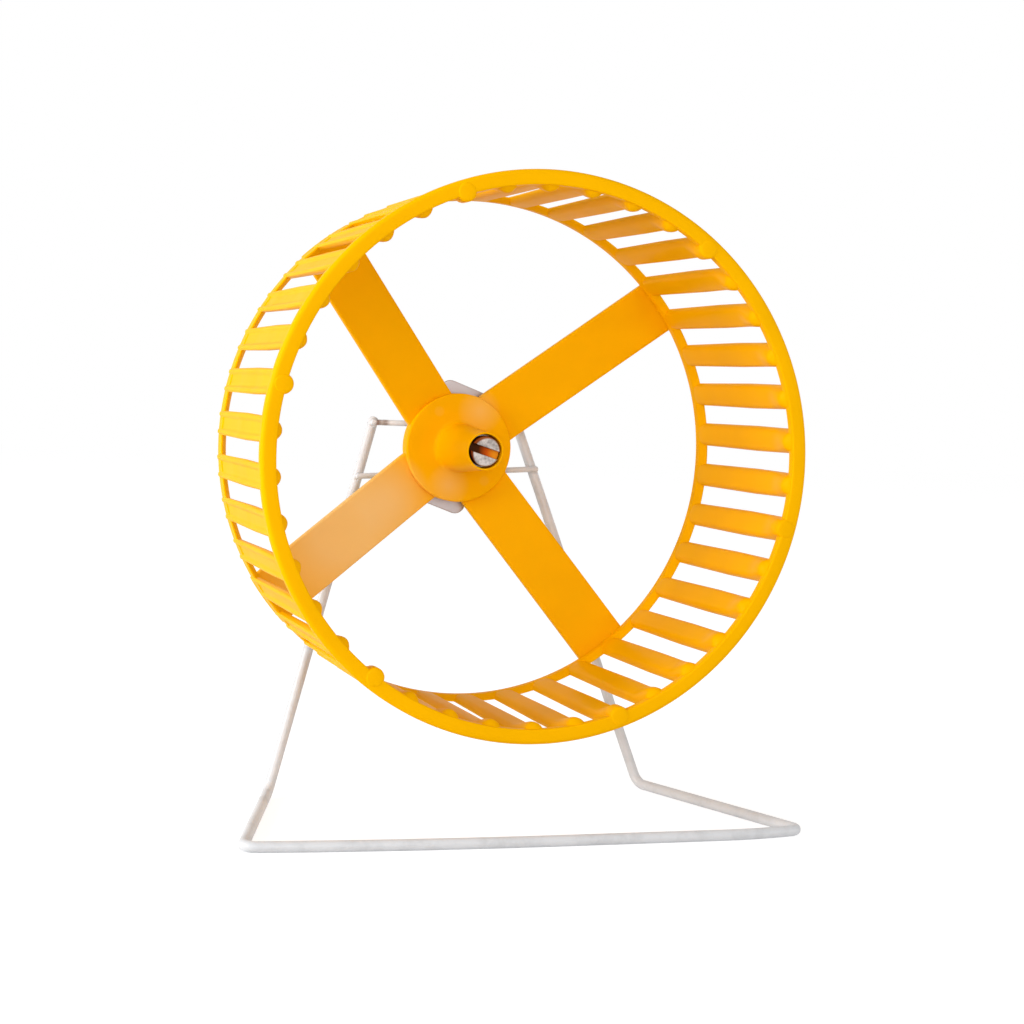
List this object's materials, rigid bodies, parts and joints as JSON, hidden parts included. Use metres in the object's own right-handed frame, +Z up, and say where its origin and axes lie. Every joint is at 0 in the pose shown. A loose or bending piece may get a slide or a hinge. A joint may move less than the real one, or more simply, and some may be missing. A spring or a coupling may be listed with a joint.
{
  "type": "hamster wheel",
  "caption": "Open plastic running wheel with rungs and flat spokes, turning on a slotted axle bolt held by a leaning stand of bent white wire.",
  "frame": {"origin": "centre of the bounding box at ground level, under the middle of the stand", "axes": "+Z up from the ground, the wheel turns about the Y direction, -Y is the open side of the wheel that faces the viewer, +Y is the side of the legs and the axle nut"},
  "size_m": [0.1452, 0.0954, 0.1646],
  "materials": {
    "orange_plastic": "moulded, semi-gloss",
    "white_paint": "off-white coating on steel wire",
    "plate_steel": "dull rolled sheet",
    "bright_zinc": "pale plated, lightly scratched"
  },
  "bodies": {
    "stand": {"stand_wire": "white_paint", "upper_cross_wire": "white_paint", "lower_cross_wire": "white_paint", "bearing_plate": "plate_steel", "axle_bolt": "bright_zinc", "head_washer": "bright_zinc", "axle_sleeve": "bright_zinc", "thrust_washer": "bright_zinc", "lock_washer": "bright_zinc", "axle_nut": "bright_zinc"},
    "wheel": {"wheel_drum": "orange_plastic", "wheel_hub": "orange_plastic", "spoke_upper_right": "orange_plastic", "spoke_upper_left": "orange_plastic", "spoke_lower_left": "orange_plastic", "spoke_lower_right": "orange_plastic"}
  },
  "joints": [
    {"name": "wheel_spin", "type": "hinge", "parent": "stand", "child": "wheel", "pos_m": [0, 0.021, 0.0944], "axis": [0, 1, 0], "continuous": true}
  ]
}
